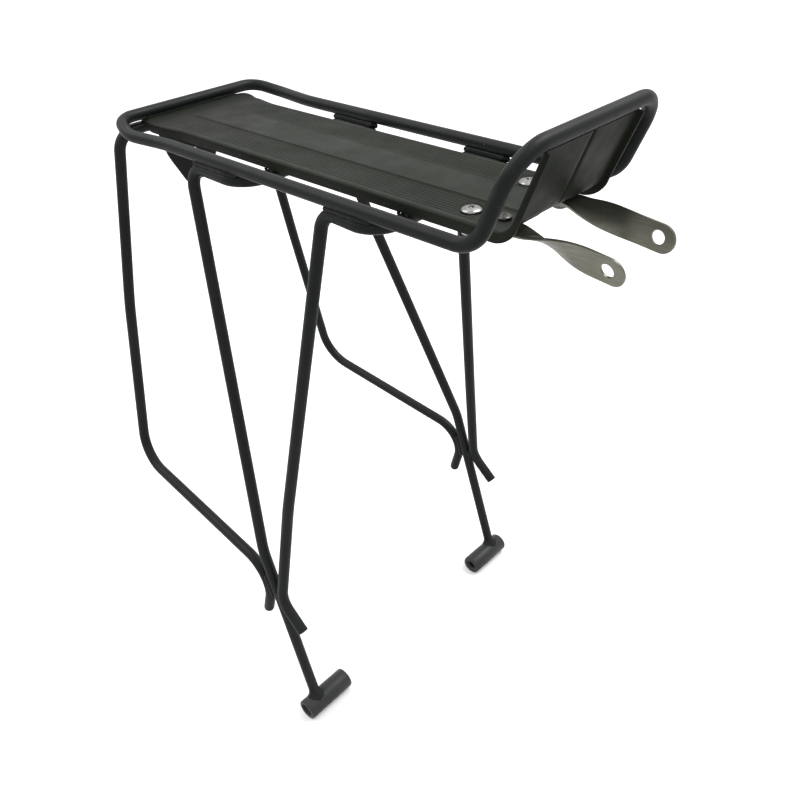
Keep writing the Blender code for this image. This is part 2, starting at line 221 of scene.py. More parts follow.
def round_loop(x, y, radius, start=0.0, turn=360.0, count=40):
    """Points round an arc, for an outline or a hole."""
    steps = count if turn == 360.0 else count + 1
    angles = [math.radians(start + turn * k / count) for k in range(steps)]
    return [(x + radius * math.cos(a), y + radius * math.sin(a)) for a in angles]


def soft_outline(corners, radii):
    """A closed outline with its corners rounded."""
    closed = [Vector((x, y, 0)) for x, y in corners]
    middle = (closed[0] + closed[-1]) / 2
    path = rounded_path([middle] + closed + [middle], radii, math.radians(12))
    return [(p.x, p.y) for p in path[:-1]]


def flat_plate(loops, thickness, edge=0.25):
    """A plate in the XY plane, centred on z = 0, with soft edges. Loops after the first are holes."""
    curve = bpy.data.curves.new("outline", "CURVE")
    curve.dimensions = "2D"
    curve.fill_mode = "BOTH"
    curve.extrude = (thickness / 2 - edge) * MM
    curve.bevel_depth = edge * MM
    curve.bevel_resolution = 2
    curve.offset = -edge * MM
    for loop in loops:
        spline = curve.splines.new("POLY")
        spline.points.add(len(loop) - 1)
        for point, (x, y) in zip(spline.points, loop):
            point.co = (x * MM, y * MM, 0, 1)
        spline.use_cyclic_u = True
    holder = bpy.data.objects.new("outline", curve)
    bpy.context.scene.collection.objects.link(holder)
    shape = holder.evaluated_get(bpy.context.evaluated_depsgraph_get())
    mesh = bpy.data.meshes.new_from_object(shape)
    bm = bmesh.new()
    bm.from_mesh(mesh)
    bpy.data.objects.remove(holder)
    bpy.data.meshes.remove(mesh)
    bmesh.ops.remove_doubles(bm, verts=bm.verts, dist=SAME_POINT)
    return bm


# Materials

class Nodes:
    """A short way to write a material's node tree."""

    def __init__(self, name):
        self.material = bpy.data.materials.new(name)
        self.material.use_nodes = True
        self.tree = self.material.node_tree
        self.shader = self.tree.nodes["Principled BSDF"]
        self.where = self.add("ShaderNodeTexCoord").outputs["Object"]

    def add(self, kind, **settings):
        """A new node of a kind, with its own settings."""
        node = self.tree.nodes.new(kind)
        for key, value in settings.items():
            setattr(node, key, value)
        return node

    def link(self, source, target):
        """Joins an output to an input."""
        self.tree.links.new(source, target)

    def stretched(self, scale):
        """Object coordinates scaled along each axis."""
        mapping = self.add("ShaderNodeMapping")
        mapping.inputs["Scale"].default_value = scale
        self.link(self.where, mapping.inputs["Vector"])
        return mapping.outputs["Vector"]

    def noise(self, scale, detail=3.0, rough=0.55, where=None):
        """A noise value. The scale is in features to the metre."""
        node = self.add("ShaderNodeTexNoise")
        node.inputs["Scale"].default_value = scale
        node.inputs["Detail"].default_value = detail
        node.inputs["Roughness"].default_value = rough
        self.link(where or self.where, node.inputs["Vector"])
        return node.outputs["Fac"]

    def ramp(self, value, low, high, first, last):
        """Maps value from low..high to first..last, which are numbers or colours."""
        node = self.add("ShaderNodeValToRGB")
        node.color_ramp.elements[0].position = low
        node.color_ramp.elements[1].position = high
        for element, colour in zip(node.color_ramp.elements, (first, last)):
            element.color = (*colour, 1) if isinstance(colour, tuple) else (colour, colour, colour, 1)
        self.link(value, node.inputs["Fac"])
        return node.outputs["Color"]

    def feed(self, source, target):
        """Gives an input a number, a colour or another node's output."""
        if isinstance(source, (int, float)):
            target.default_value = source
        elif isinstance(source, tuple):
            target.default_value = (*source, 1)
        else:
            self.link(source, target)

    def mix(self, share, first, last, blend="MIX"):
        """Blends two colours. Sockets 0, 6 and 7 are the share and the two colours."""
        node = self.add("ShaderNodeMix", data_type="RGBA", blend_type=blend)
        for source, socket in ((share, 0), (first, 6), (last, 7)):
            self.feed(source, node.inputs[socket])
        return node.outputs[2]

    def times(self, first, last):
        """One colour darkened by another."""
        return self.mix(1.0, first, last, "MULTIPLY")

    def edge_mask(self, radius, low, high):
        """White on sharp edges: where a rounded normal leaves the true one."""
        soft = self.add("ShaderNodeBevel", samples=4)
        soft.inputs["Radius"].default_value = radius * MM
        true = self.add("ShaderNodeNewGeometry")
        dot = self.add("ShaderNodeVectorMath", operation="DOT_PRODUCT")
        self.link(soft.outputs["Normal"], dot.inputs[0])
        self.link(true.outputs["Normal"], dot.inputs[1])
        return self.ramp(dot.outputs["Value"], low, high, 1.0, 0.0)

    def underside_shade(self, low, high):
        """Painted shade: goes from low on surfaces that face the ground to high on those that face the sky.
        """
        normal = self.add("ShaderNodeSeparateXYZ")
        self.link(self.add("ShaderNodeNewGeometry").outputs["Normal"], normal.inputs[0])
        half = self.add("ShaderNodeMath", operation="MULTIPLY_ADD")
        self.link(normal.outputs["Z"], half.inputs[0])
        half.inputs[1].default_value = 0.5
        half.inputs[2].default_value = 0.5
        return self.ramp(half.outputs[0], 0.35, 0.92, low, high)

    def rear_shade_ramp(self, low, high):
        """Painted shade: goes from low at the rack's rear end to high a third of the way forward."""
        place = self.add("ShaderNodeSeparateXYZ")
        self.link(self.where, place.inputs[0])
        along = self.add("ShaderNodeMath", operation="ADD")
        self.link(place.outputs["X"], along.inputs[0])
        shift = 0.5
        along.inputs[1].default_value = shift
        return self.ramp(along.outputs[0], shift - 0.17, shift - 0.06, low, high)

    def bump(self, *layers):
        """Stacks (height, strength, distance in millimetres) layers into the shader's normal."""
        last = None
        for height, strength, distance in layers:
            node = self.add("ShaderNodeBump")
            node.inputs["Strength"].default_value = strength
            node.inputs["Distance"].default_value = distance * MM
            self.link(height, node.inputs["Height"])
            if last:
                self.link(last, node.inputs["Normal"])
            last = node.outputs["Normal"]
        self.link(last, self.shader.inputs["Normal"])

    def finish(self, colour, roughness, metallic=0.0, specular=0.5):
        """Connects the shader's main inputs and gives back the material."""
        for source, name in ((colour, "Base Color"), (roughness, "Roughness"), (metallic, "Metallic"),
                             (specular, "Specular IOR Level")):
            self.feed(source, self.shader.inputs[name])
        return self.material


def paint(name, dark, light, specular, rough=(0.36, 0.52), shade=0.95, rear_shade=1.0):
    """Satin stove paint: orange peel, dust, rubbed edges and a few small chips, with painted shade on what
    faces the ground.

    shade sets the painted shade on what faces the ground, which also reflects less there, and the last
    argument sets the painted shade over the rack's rear end.
    """
    n = Nodes(name)
    clouds = n.noise(18.0, 4.0)
    grain = n.noise(420.0, 3.0)
    colour = n.mix(n.ramp(clouds, 0.3, 0.7, 0.0, 1.0), dark, light)
    dust = n.ramp(n.noise(900.0, 2.0, 0.7), 0.58, 0.80, 0.0, 0.16)
    colour = n.mix(dust, colour, tuple(2.2 * c + 0.008 for c in light))
    # painted shade: the sides that face the ground are darkened
    colour = n.times(colour, n.underside_shade(shade, 1.0))
    # painted shade: the rack's rear end is darkened
    colour = n.times(colour, n.rear_shade_ramp(rear_shade, 1.0))
    rubbed = n.edge_mask(0.5, 0.80, 0.97)
    rubbed = n.times(rubbed, n.ramp(n.noise(160.0, 4.0), 0.45, 0.62, 0.05, 0.6))
    colour = n.mix(rubbed, colour, (0.075, 0.075, 0.07))
    chip = n.ramp(n.noise(420.0, 2.0, 0.4), 0.745, 0.765, 0.0, 0.5)
    colour = n.mix(chip, colour, (0.055, 0.054, 0.05))
    roughness = n.ramp(n.noise(60.0, 5.0), 0.3, 0.7, *rough)
    n.bump((n.noise(1100.0, 2.0), 0.18, 0.05), (grain, 0.12, 0.06), (chip, -0.4, 0.05))
    # painted shade: the reflection is turned down on the sides that face the ground
    return n.finish(colour, roughness, 0.0, n.underside_shade(0.35 * specular, specular))


def rolled_steel(name, dark, light):
    """Bare steel strip: lengthwise rolling marks, faint stains and bright rubbed edges."""
    n = Nodes(name)
    lines = n.noise(1.0, 4.0, 0.6, n.stretched((35.0, 1500.0, 1500.0)))
    stains = n.noise(38.0, 4.0)
    colour = n.mix(n.ramp(stains, 0.3, 0.72, 0.0, 1.0), dark, light)
    colour = n.mix(n.ramp(lines, 0.35, 0.7, 0.0, 0.45), colour, tuple(0.55 * c for c in dark))
    colour = n.mix(n.edge_mask(0.4, 0.82, 0.98), colour, (0.62, 0.61, 0.57))
    rust = n.ramp(n.noise(140.0, 5.0, 0.65), 0.70, 0.80, 0.0, 0.5)
    colour = n.mix(rust, colour, (0.16, 0.11, 0.07))
    roughness = n.ramp(lines, 0.3, 0.7, 0.26, 0.42)
    n.bump((lines, 0.25, 0.03), (stains, 0.1, 0.1))
    n.shader.inputs["Anisotropic"].default_value = 0.35
    return n.finish(colour, roughness, 0.80, 0.5)


def plating(name, dark, light):
    """Zinc plating with a fine crystalline mottle and handling marks."""
    n = Nodes(name)
    mottle = n.noise(700.0, 3.0)
    colour = n.mix(n.ramp(mottle, 0.35, 0.65, 0.0, 1.0), dark, light)
    colour = n.mix(n.ramp(n.noise(300.0, 4.0), 0.62, 0.75, 0.0, 0.6), colour, tuple(0.6 * c for c in dark))
    roughness = n.ramp(n.noise(500.0, 3.0), 0.3, 0.7, 0.18, 0.34)
    n.bump((mottle, 0.15, 0.03))
    return n.finish(colour, roughness, 0.97, 0.5)


def pale_floor(name):
    """A nearly white studio floor with the faintest clouding."""
    n = Nodes(name)
    colour = n.mix(n.ramp(n.noise(1.5, 2.0), 0.3, 0.7, 0.0, 1.0), (0.90, 0.90, 0.895), (0.915, 0.915, 0.91))
    n.bump((n.noise(300.0, 2.0), 0.02, 0.2))
    return n.finish(colour, 0.85, 0.0, 0.1)


ROD_PAINT = paint("rod_paint", (0.0048, 0.0058, 0.0056), (0.0080, 0.0092, 0.0087), 0.19)
FOOT_PAINT = paint("foot_paint", (0.014, 0.0155, 0.015), (0.022, 0.0235, 0.0225), 0.30)
# the deck gets more painted shade on its ground-facing panel and painted shade over its rear end
DECK_PAINT = paint("deck_paint", (0.0098, 0.0118, 0.0082), (0.0155, 0.0178, 0.0122), 0.12,
                   rough=(0.42, 0.58), shade=0.66, rear_shade=0.55)
STEEL = rolled_steel("bare_steel", (0.105, 0.102, 0.084), (0.185, 0.182, 0.150))
ZINC = plating("zinc", (0.20, 0.20, 0.195), (0.40, 0.40, 0.385))
DULL_ZINC = plating("dull_zinc", (0.045, 0.045, 0.044), (0.11, 0.11, 0.105))


def place(piece, material, slot, body=RACK, nodes=()):
    """Gives a piece its finish, the body it rides on and the nodes it stands for. The slot argument is not
    used.
    """
    piece.data.materials.clear()
    piece.data.materials.append(material)
    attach(piece, body)
    if nodes:
        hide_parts(*nodes)
    return piece


# Rods and feet

def half_path(corners, bends):
    """A rod's left half, from its corners and bend radii."""
    return rounded_path([above_rails(*corner) for corner in corners], bends)


def middle_end():
    """Where the middle hoop meets the foot, and the foot's axis point."""
    low, high = node_box("left_foot")
    foot = Vector(((low.x + high.x) / 2, FOOT_ROD_Y, FOOT_R))
    knee = above_rails(*MIDDLE_CORNERS[-1])
    return foot + (knee - foot).normalized() * (FOOT_R - 1.0), foot


LOOP_HALF = half_path(LOOP_CORNERS, LOOP_BENDS)
REAR_HALF = half_path(REAR_CORNERS, REAR_BENDS)
FRONT_HALF = half_path(FRONT_CORNERS, FRONT_BENDS)
MIDDLE_HALF = rounded_path([above_rails(*c) for c in MIDDLE_CORNERS] + [middle_end()[0]], MIDDLE_BENDS)


def make_loop():
    """The closed rod of both rails, the rear bar and the front stop."""
    bm = bmesh.new()
    sweep(bm, LOOP_HALF + mirrored(LOOP_HALF)[-2:0:-1], ROD_R, closed_path=True)
    place(mesh_piece("loop_rod", bm), ROD_PAINT, "rod_paint", nodes=["platform_loop"])


def make_hoop(name, node, half, tip):
    """A rod from tip to tip, made of two mirrored halves that meet on the middle plane."""
    path, radii = with_tip(half, [ROD_R] * len(half), tip)
    path = mirrored(path)[:0:-1] + path
    radii = radii[:0:-1] + radii
    bm = bmesh.new()
    sweep(bm, path, radii)
    place(mesh_piece(name, bm), ROD_PAINT, "rod_paint", nodes=[node])


def make_feet():
    """Cross tubes with a bored inner face and a counterbored outer end."""
    for side, sign in SIDES:
        low, high = node_box(side + "_foot")
        length = high.y - low.y
        inner = low.y if sign > 0 else high.y
        start = Vector(((low.x + high.x) / 2, inner, FOOT_R))
        profile = [(3.2, 2.2), (3.5, 0.9), (4.3, 0.1), (4.5, 0.0), (6.7, 0.0), (7.3, 0.2), (FOOT_R, 0.8)]
        profile += [(FOOT_R, length - 0.8), (7.3, length - 0.2), (6.8, length), (5.3, length)]
        profile += [(5.0, length - 0.3), (4.9, length - 1.6), (3.4, length - 2.4), (3.2, length - 2.8)]
        bm = bmesh.new()
        turned(bm, profile, start, Vector((0, sign, 0)))
        piece = mesh_piece(side + "_foot_tube", bm, 50)
        place(piece, FOOT_PAINT, "rod_paint", nodes=[side + "_foot"])


# Weld beads

RIPPLE_PITCH = 1.5
BEAD_STEP = 0.35
TAIL_POINTS = 14                # points at the end of the front hoop's path that are its tail


def ripple(position):
    """The stacked-coin rise and fall along a weld bead."""
    coins = math.sin(2 * math.pi * position / RIPPLE_PITCH)
    return 1.0 + 0.05 * coins + 0.04 * math.sin(position * 0.7 + 0.7)


def bead(bm, points, radius):
    """One rippled bead along points, thinning to nothing at both ends."""
    path = resampled(points, BEAD_STEP)
    run = 0.0
    total = sum((b - a).length for a, b in zip(path, path[1:]))
    radii = []
    for k, point in enumerate(path):
        if k:
            run += (point - path[k - 1]).length
        near = min(run, total - run) / (1.3 * radius)
        taper = math.sqrt(max(0.02, 1.0 - (1.0 - min(1.0, near)) ** 2))
        radii.append(radius * taper * ripple(run))
    sweep(bm, path, radii, sides=12)


def nearest(point, path):
    """The closest point to a given one on a path of straight stretches."""
    best = None
    for start, end in zip(path, path[1:]):
        span = end - start
        share = max(0.0, min(1.0, (point - start).dot(span) / max(span.length_squared, 1e-9)))
        spot = start + span * share
        if best is None or (spot - point).length < (best - point).length:
            best = spot
    return best


def groove_beads(bm, first, second, gap, radius, bury, keep=None):
    """Beads in the two grooves where rods on the given centre lines run side by side.

    gap is how far apart the rods may be, and bury how far out of their plane the beads lie.
    """
    run = []
    for point in resampled(first, 1.0):
        other = nearest(point, second)
        if (other - point).length < 2 * ROD_R + gap and (keep is None or keep(point)):
            run.append((point, other))
    if len(run) < 4:
        return
    for way in (1, -1):
        line = []
        for k, (point, other) in enumerate(run):
            ahead = run[min(k + 1, len(run) - 1)][0] - run[max(k - 1, 0)][0]
            side = ahead.cross(other - point).normalized()
            line.append((point + other) / 2 + side * (way * ROD_R * bury))
        bead(bm, line, radius)


def foot_ring(sign, out, lift):
    """A ring round a middle hoop's rod, lifted off the round of its foot.

    Each point starts where a line along the rod meets a circle just inside the foot.
    """
    end, foot = middle_end()
    axis = (end - foot).normalized()
    side = axis.orthogonal().normalized()
    rise = axis.cross(side)
    ring = []
    for k in range(48):
        a = 2 * math.pi * k / 48
        spoke = (side * math.cos(a) + rise * math.sin(a)) * (ROD_R + out * (1.0 + 0.07 * math.sin(9 * a)))
        across = Vector((spoke.x, 0, spoke.z))
        along = Vector((axis.x, 0, axis.z))
        half = across.dot(along) / along.length_squared
        rest = (across.length_squared - (FOOT_R - 0.1) ** 2) / along.length_squared
        reach = -half + math.sqrt(half * half - rest) + lift
        spot = foot + spoke + axis * reach
        ring.append(Vector((spot.x, sign * spot.y, spot.z)))
    return ring


# The weld's rings as (out from the rod, up the rod).
FOOT_FILLET = ((2.7, 0.0), (2.2, 0.6), (1.4, 1.1), (0.8, 2.0), (0.35, 3.2), (0.05, 4.6))


def deck_beads(bm, sign):
    """Short beads where a folded edge of the deck sits on the middle and front hoops."""
    for x in (MIDDLE_CORNERS[0][0], FRONT_CORNERS[0][0]):
        for way in (-1, 1):
            spot = above_rails(x + way * 2.6, sign * (DECK_HALF - 0.6), -5.9)
            across = Vector((0, way, 0))
            bead(bm, [spot - across, spot + across], 1.0)


def make_welds():
    """One piece per welded place and side, named for what it joins."""
    def weld(name, build):
        """One finished piece from a function that fills its mesh."""
        bm = bmesh.new()
        build(bm)
        place(mesh_piece(name, bm, 60), ROD_PAINT, "rod_paint")

    for side, sign in SIDES:
        turn = (lambda path: path) if sign > 0 else mirrored
        loop, rear = turn(LOOP_HALF), turn(REAR_HALF)
        middle, front = turn(MIDDLE_HALF), turn(FRONT_HALF)
        weld("weld_rear_tail_" + side, lambda bm: groove_beads(bm, rear, middle, 3.2, 1.8, 0.55))
        tail, leg = front[-TAIL_POINTS:], front[:-TAIL_POINTS]
        weld("weld_front_tail_" + side, lambda bm: groove_beads(bm, tail, middle, 2.0, 1.8, 0.55))
        weld("weld_middle_rail_" + side, lambda bm: groove_beads(bm, middle, loop, 3.4, 1.7, 0.36))
        weld("weld_front_rail_" + side, lambda bm: groove_beads(bm, leg, loop, 3.4, 1.7, 0.36))
        weld("weld_rear_bar_" + side, lambda bm: [
            groove_beads(bm, rear, loop, 4.0, 1.9, 0.25, lambda p: start < abs(p.y) < start + 12.0)
            for start in (6.0, 26.0)])
        weld("weld_foot_" + side, lambda bm: skin(bm, [foot_ring(sign, *step) for step in FOOT_FILLET]))
        weld("weld_deck_" + side, lambda bm: deck_beads(bm, sign))


# Deck plate

SHEET = 1.2
DECK_TOP = 0.8
DECK_HALF = 37.5
DECK_BEND_X = 119.6
DECK_BEND_R = 10.8
PANEL_LEAN = math.radians(22.3)
PANEL_LENGTH = 37.0
FLANGE = 6.0
PANEL_FLANGE = 3.8
CENTRE_HALF = 13.4
CENTRE_RISE = 0.7
REAR_CURL = 9.0                 # length over which the rear end turns up
FOLD_R = 1.6
FLANGE_EDGE = 0.3
BEND_SECTIONS = 18
DECK_FLARE = 3.0                # extra half width at the rear
FLARE_START = -128.0
FLARE_RUN = 18.0
GROOVE_PITCH = 2.35
GROOVE_DEPTH = 0.38
GROOVES = 8
FIRST_GROOVE = 16.4
DECK_REAR_X = node_box("deck_plate")[0].x
DECK_CORNER = 6.5
BOLT_X = 95.4
BOLT_Y = 23.0
BOLT_PITCH = 19.6
DIMPLE_DEPTH = 1.55
DIMPLE_FLOOR_R = 5.7
DIMPLE_R = 8.4


def smooth_step(share):
    """An even rise from 0 to 1 that starts and ends level."""
    share = max(0.0, min(1.0, share))
    return share * share * (3.0 - 2.0 * share)


def hump(distance, half_width):
    """A smooth rise from 0 at half_width away to 1 at the middle."""
    if abs(distance) >= half_width:
        return 0.0
    return 0.5 + 0.5 * math.cos(math.pi * distance / half_width)


def deck_half_width(x):
    """Half width over the folds: rounded rear corners, a slight flare, then straight sides."""
    corner = DECK_CORNER
    flare = DECK_FLARE * max(0.0, min(1.0, (FLARE_START - x) / FLARE_RUN))
    inset = 0.0
    if x < DECK_REAR_X + corner:
        run = (DECK_REAR_X + corner - x) / corner
        inset = corner * (1.0 - math.sqrt(max(0.0, 1.0 - run * run)))
    return DECK_HALF + flare - inset


def rear_curl(x):
    """How far the deck's rear end turns up to meet the bar."""
    return 1.2 * CENTRE_RISE * (1.0 - smooth_step((x - DECK_REAR_X - 1.0) / REAR_CURL))


def dimple(x, y):
    """1 on the floor of the dish round a rear bolt, 0 outside it."""
    distance = math.hypot(x - BOLT_X, abs(y) - BOLT_Y)
    return smooth_step((DIMPLE_R - distance) / (DIMPLE_R - DIMPLE_FLOOR_R))


def pressed_height(y, x, panel_share):
    """Height of the pressing above the plain sheet: raised middle, ribs, grooves and the crease."""
    y = abs(y)
    fade = smooth_step((x - DECK_REAR_X - 9.0) / 14.0) * (1.0 - panel_share)
    height = CENTRE_RISE * smooth_step((CENTRE_HALF + 0.6 - y) / 1.4) * fade
    height += 0.34 * hump(y - CENTRE_HALF + 0.5, 1.0) * fade
    dish = dimple(x, y) if panel_share == 0.0 else 0.0
    groove_fade = smooth_step((x - DECK_REAR_X - 14.0) / 14.0) * (1.0 - smooth_step((x - 101.0) / 8.0))
    for k in range(GROOVES):
        height -= GROOVE_DEPTH * groove_fade * (1.0 - dish) * hump(y - FIRST_GROOVE - GROOVE_PITCH * k, 0.62)
    height -= 0.25 * fade * hump(y - DECK_HALF + 2.6, 0.8)
    height += 0.9 * smooth_step(panel_share) * hump(y, 1.6)
    return height - DIMPLE_DEPTH * dish + rear_curl(x)


def deck_across(half):
    """Distances from the middle for the sheet's flat part, closer together over ribs and grooves."""
    marks = [0.0, 0.4, 0.8, 1.2, 1.6, 4.0, 8.0, 11.4]
    marks += [CENTRE_HALF - 1.5 + 0.25 * k for k in range(11)]
    for k in range(GROOVES):
        middle = FIRST_GROOVE + GROOVE_PITCH * k
        marks += [middle + d for d in (-0.85, -0.62, -0.31, 0.0, 0.31, 0.62)]
    marks += [DECK_HALF - 1.7]
    return [m * (half - FOLD_R) / (DECK_HALF - FOLD_R) for m in marks]


def deck_stations():
    """Each station is (x, height, tilt of the sheet, share of the panel)."""
    steps = (0.0, 0.15, 0.5, 1.0, 1.8, 3.0, 4.6, 6.5, 9.0, 12.0, 16.0, 20.0, 25.0, 32.0, 40.0)
    stations = [(DECK_REAR_X + step, DECK_TOP, 0.0, 0.0) for step in steps]
    stations += [(x, DECK_TOP, 0.0, 0.0) for x in range(-115, 85, 20)]
    stations += [(BOLT_X + 0.7 * k, DECK_TOP, 0.0, 0.0) for k in range(-13, 14)]
    stations += [(x, DECK_TOP, 0.0, 0.0) for x in (107.0, 111.0, 115.0)]
    turn = math.pi / 2 - PANEL_LEAN
    for k in range(BEND_SECTIONS + 1):
        angle = turn * k / BEND_SECTIONS
        x = DECK_BEND_X + DECK_BEND_R * math.sin(angle)
        rise = DECK_BEND_R * (1.0 - math.cos(angle))
        stations.append((x, DECK_TOP + rise, angle, k / BEND_SECTIONS))
    x, height, angle, _ = stations[-1]
    for share in (0.15, 0.35, 0.6, 0.85, 0.97, 1.0):
        reach = PANEL_LENGTH * share
        stations.append((x + reach * math.cos(angle), height + reach * math.sin(angle), angle, 1.0))
    return stations


def deck_ring(x, height, tilt, share):
    """A closed section of the sheet: its upper side from left to right, then its lower side back."""
    half = deck_half_width(x)
    depth = FLANGE + (PANEL_FLANGE - FLANGE) * share
    depth *= min(1.0, 0.35 + (x - DECK_REAR_X) / 12.0) if tilt == 0.0 else 1.0
    upper = [(y, pressed_height(y, x, share)) for y in deck_across(half)]
    lower = [(y, rise - SHEET) for y, rise in upper]
    top = rear_curl(x) - FOLD_R
    for angle in (0, 18, 36, 54, 72, 90):
        a = math.radians(angle)
        for side, radius in ((upper, FOLD_R), (lower, FOLD_R - SHEET)):
            side.append((half - FOLD_R + radius * math.sin(a), top + radius * math.cos(a)))
    edge = FLANGE_EDGE
    upper += [(half, -depth + edge), (half - edge * 0.4, -depth + edge * 0.1), (half - SHEET / 2, -depth)]
    lower += [(half - SHEET, -depth + edge), (half - SHEET + edge * 0.4, -depth + edge * 0.1)]
    outline = [(-y, rise) for y, rise in upper[:0:-1]] + upper
    outline += lower[::-1] + [(-y, rise) for y, rise in lower[1:]]
    up = Vector((-math.sin(tilt), 0, math.cos(tilt)))
    return [above_rails(x, y, height) + up * rise for y, rise in outline]


def make_deck():
    """The pressed sheet, from its rear end over the bend and up the front stop."""
    bm = bmesh.new()
    skin(bm, [deck_ring(*station) for station in deck_stations()])
    place(mesh_piece("deck_sheet", bm, 50), DECK_PAINT, "deck_paint", nodes=["deck_plate"])


# Reflector bracket

BRACKET_SHAPE = ((26.2, 0.0), (21.5, 21.2), (10.0, 43.5))
BRACKET_HOLE_R = 2.6
BRACKET_HOLE_DROP = 23.3


def make_bracket():
    """The tapered plate under the rear hoop, with its hole and the beads along its top."""
    low, high = node_box("reflector_bracket")
    half = [(y, -depth) for y, depth in BRACKET_SHAPE]
    corners = [(-y, z) for y, z in half] + half[::-1]
    hole = round_loop(0.0, -BRACKET_HOLE_DROP, BRACKET_HOLE_R)
    bm = flat_plate([soft_outline(corners, (2.0, 40.0, 3.0, 3.0, 40.0, 2.0)), hole], high.x - low.x, 0.35)
    stand = Matrix(((0, 0, 1, 0), (1, 0, 0, 0), (0, 1, 0, 0), (0, 0, 0, 1)))
    bmesh.ops.transform(bm, matrix=stand, verts=bm.verts)
    bmesh.ops.translate(bm, verts=bm.verts, vec=Vector(((low.x + high.x) / 2, 0, high.z)) * MM)
    for start, end in ((-22.0, -12.0), (-5.0, 5.0), (12.0, 22.0)):
        line = [Vector((high.x + 0.1, y, high.z - 0.4)) for y in (start, end)]
        bead(bm, line, 1.1)
    place(mesh_piece("reflector_plate", bm), ROD_PAINT, "rod_paint", nodes=["reflector_bracket"])


# Stays

STAY_T = 1.6
STAY_W = 13.8
STAY_DROOP = math.radians(6.5)
STAY_TWIST_X = 118.0
STAY_TWIST = 44.0
STAY_TURN = math.radians(80.0)
STAY_DRIFT = 1.1
STAY_HOLE_X = 170.4
STAY_HOLE_R = 3.3
STAY_TRAVEL = 30.0
HOLE_R = 3.3
STAY_LEVEL = -3.05
TWIST_CUTS = range(118, 178)    # where the strip is cut across, so that it can bend


def stay_centre(x, sign):
    """The strip's centre line: level under the deck, then down and a little inward."""
    beyond = max(0.0, x - STAY_TWIST_X)
    drop = beyond * math.tan(STAY_DROOP * smooth_step(beyond / 12.0))
    lean = STAY_DRIFT * smooth_step(beyond / 25.0)
    return above_rails(x, sign * (BOLT_Y - lean), STAY_LEVEL - drop)


def stay_outline(rear, tip):
    """A strip laid flat, with cut corners at its rear and a round tip."""
    half = STAY_W / 2
    return ([(rear + 3.0, half), (rear + 0.9, half - 0.9), (rear, half - 3.0)]
            + [(rear, 3.0 - half), (rear + 0.9, 0.9 - half), (rear + 3.0, -half)]
            + round_loop(tip - half, 0.0, half, -90.0, 180.0, 24))


def stay_loops(rear, tip):
    """The strip laid flat: its outline, its slot and its eye."""
    slot = (round_loop(BOLT_X + BOLT_PITCH, 0.0, HOLE_R, -90.0, 180.0, 16)
            + round_loop(BOLT_X - STAY_TRAVEL, 0.0, HOLE_R, 90.0, 180.0, 16))
    return [stay_outline(rear, tip), slot, round_loop(STAY_HOLE_X, 0.0, STAY_HOLE_R)]


def make_stays():
    """Two strips, cut out flat and then twisted along their centre lines."""
    for side, sign in SIDES:
        low, high = node_box(side + "_stay")
        bm = flat_plate(stay_loops(low.x, high.x), STAY_T, 0.3)
        for x in TWIST_CUTS:
            everything = bm.verts[:] + bm.edges[:] + bm.faces[:]
            bmesh.ops.bisect_plane(bm, geom=everything, plane_co=(x * MM, 0, 0), plane_no=(1, 0, 0))
        for vert in bm.verts:
            x = vert.co.x / MM
            twist = sign * STAY_TURN * smooth_step((x - STAY_TWIST_X) / STAY_TWIST)
            width = Vector((0, math.cos(twist), math.sin(twist)))
            face = Vector((0, -math.sin(twist), math.cos(twist)))
            vert.co = stay_centre(x, sign) * MM + width * vert.co.y + face * vert.co.z
        piece = mesh_piece(side + "_stay_strip", bm, 35)
        place(piece, STEEL, "bare_steel", "stay_" + side, [side + "_stay"])


# Bolts, washers, clamp plates and nuts

BIG = {"head_r": 5.25, "head_h": 2.4, "shank_r": 3.0, "pitch": 1.0, "cross": 2.5, "nut_af": 10.0,
       "finish": ZINC}
SMALL = {"head_r": 3.7, "head_h": 1.9, "shank_r": 2.0, "pitch": 0.7, "cross": 1.7, "nut_af": 7.0,
         "finish": DULL_ZINC}


def add_shank(bm, foot, length, threaded, size):
    """A shank standing on its lower end, with a screw thread over its lower part."""
    radius, pitch = size["shank_r"], size["pitch"]
    step = pitch / 6
    rings = []
    for k in range(int(length / step) + 1):
        height = step * k
        cut = smooth_step((threaded - height) / pitch)
        taper = min(1.0, 0.8 + 0.3 * height)
        ring = []
        for j in range(24):
            a = 2 * math.pi * j / 24
            phase = (height / pitch - a / (2 * math.pi)) % 1.0
            reach = (radius - 0.55 * pitch * abs(2.0 * phase - 1.0) * cut) * taper
            ring.append(foot + Vector((reach * math.cos(a), reach * math.sin(a), height)))
        rings.append(ring)
    skin(bm, rings)


def recess_cutter(name, top, spin, reach):
    """A tapered cross for the driver, standing in the head."""
    bm = bmesh.new()
    for quarter in (0, 1):
        turn = Matrix.Rotation(spin + quarter * math.pi / 2, 3, UP)
        rings = []
        sizes = ((-0.55 * reach, 0.4 * reach, 0.17 * reach), (0.6, reach, 0.25 * reach))
        for height, long_half, wide_half in sizes:
            corners = ((long_half, wide_half), (-long_half, wide_half), (-long_half, -wide_half),
                       (long_half, -wide_half))
            rings.append([top + turn @ Vector((x, y, height)) for x, y in corners])
        skin(bm, rings)
    return mesh_piece(name, bm)


